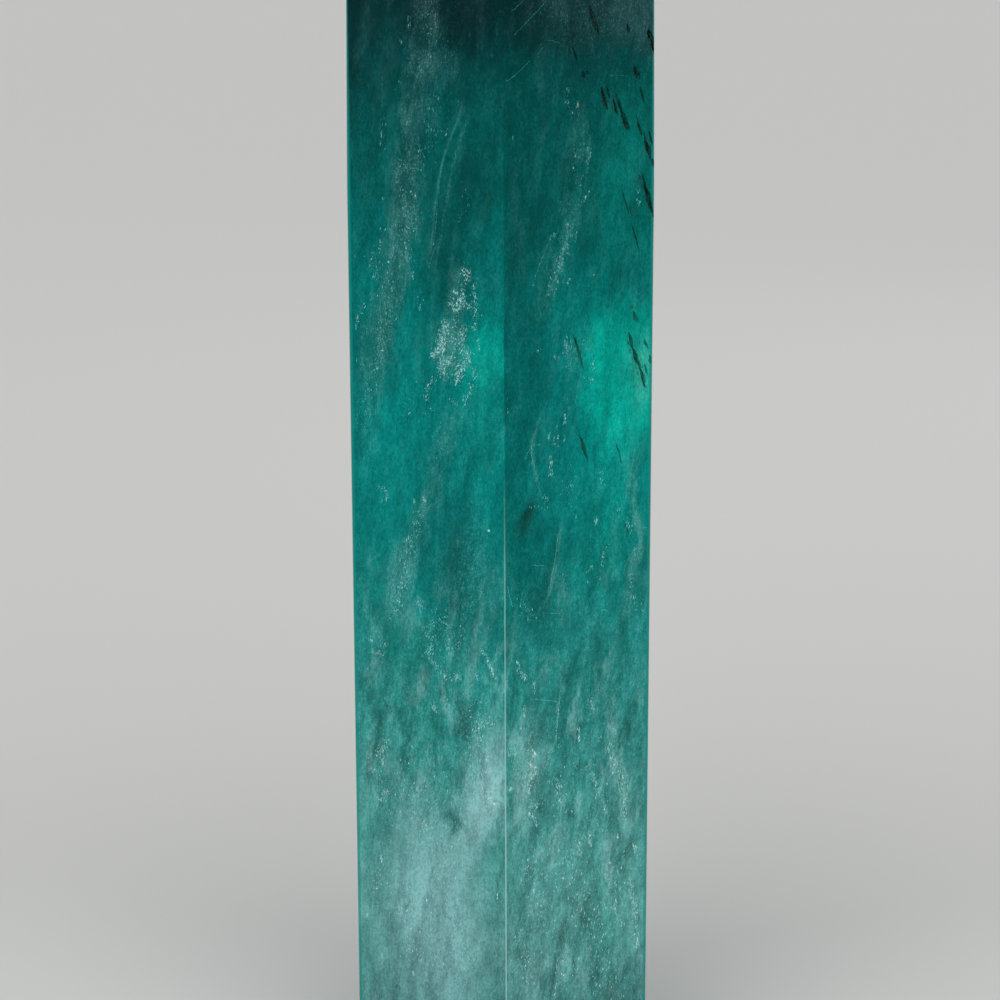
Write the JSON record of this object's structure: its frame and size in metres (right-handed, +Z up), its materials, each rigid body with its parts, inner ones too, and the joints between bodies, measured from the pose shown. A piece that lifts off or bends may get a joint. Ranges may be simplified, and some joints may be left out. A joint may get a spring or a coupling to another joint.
{
  "type": "fluorite point",
  "caption": "Polished six-sided crystal column with narrow eased edges, a six-facet pointed tip, a flat base to stand on and ragged natural pits in its flanks.",
  "frame": {"origin": "centre of the flat base, on the surface that it stands on", "axes": "+Z up along the column to the tip, -Y out through the upright edge between the two front flanks, +X to the right of that edge"},
  "size_m": [0.05, 0.0575, 0.2218],
  "materials": {
    "fluorite": "polished"
  },
  "bodies": {
    "root": {"fluorite_point": "fluorite"}
  },
  "joints": []
}
